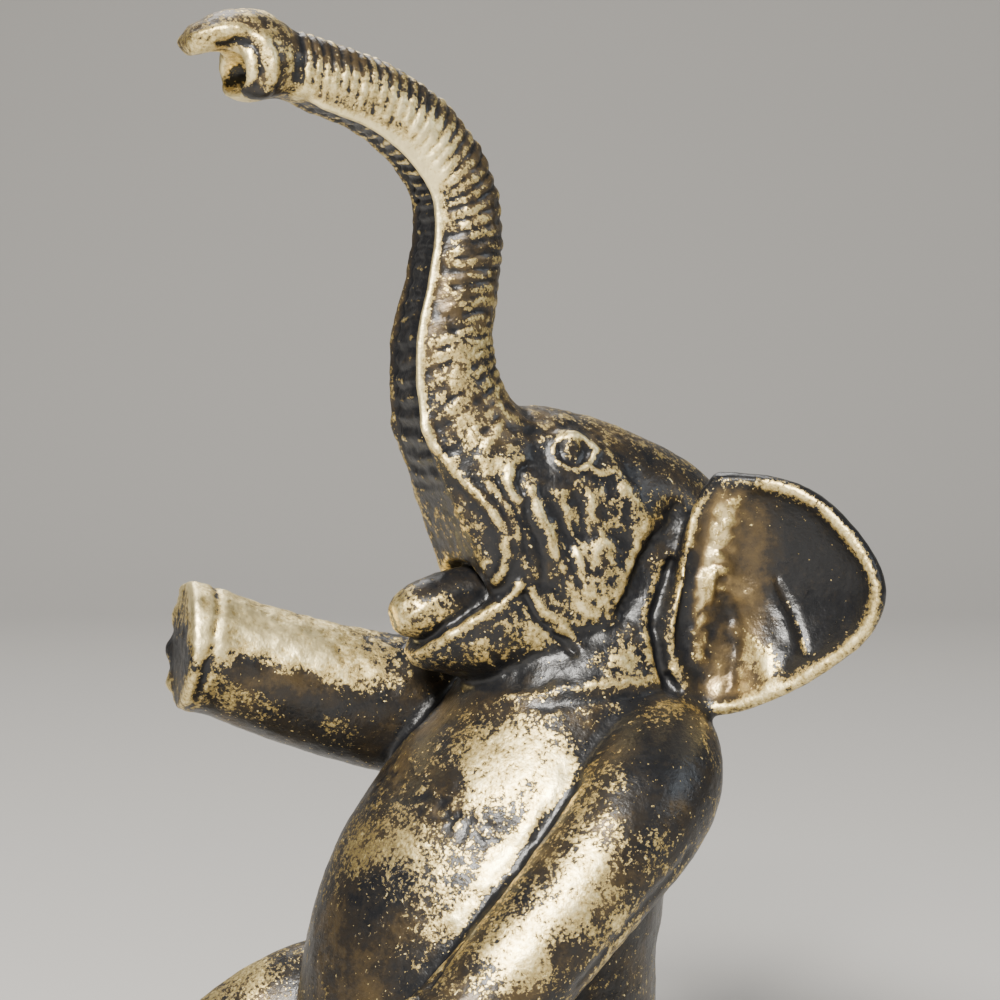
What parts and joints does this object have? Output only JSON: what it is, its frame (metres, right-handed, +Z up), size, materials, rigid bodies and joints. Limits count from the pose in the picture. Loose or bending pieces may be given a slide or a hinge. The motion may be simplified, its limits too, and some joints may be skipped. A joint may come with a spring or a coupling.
{
  "type": "elephant figurine",
  "caption": "Seated cast-metal elephant with its trunk raised in an S, mouth open, ears spread and one foreleg held forward, on a low base.",
  "frame": {"origin": "on the underside of the base, in the middle of the whole figurine's length and width", "axes": "+Z up, the elephant faces -X and its right side is +Y"},
  "size_m": [0.1058, 0.084, 0.1861],
  "materials": {
    "aged_brass": "dark brown-black patina, glossy, rubbed through to pale gold metal on the raised parts"
  },
  "bodies": {
    "root": {"elephant": "aged_brass"}
  },
  "joints": []
}
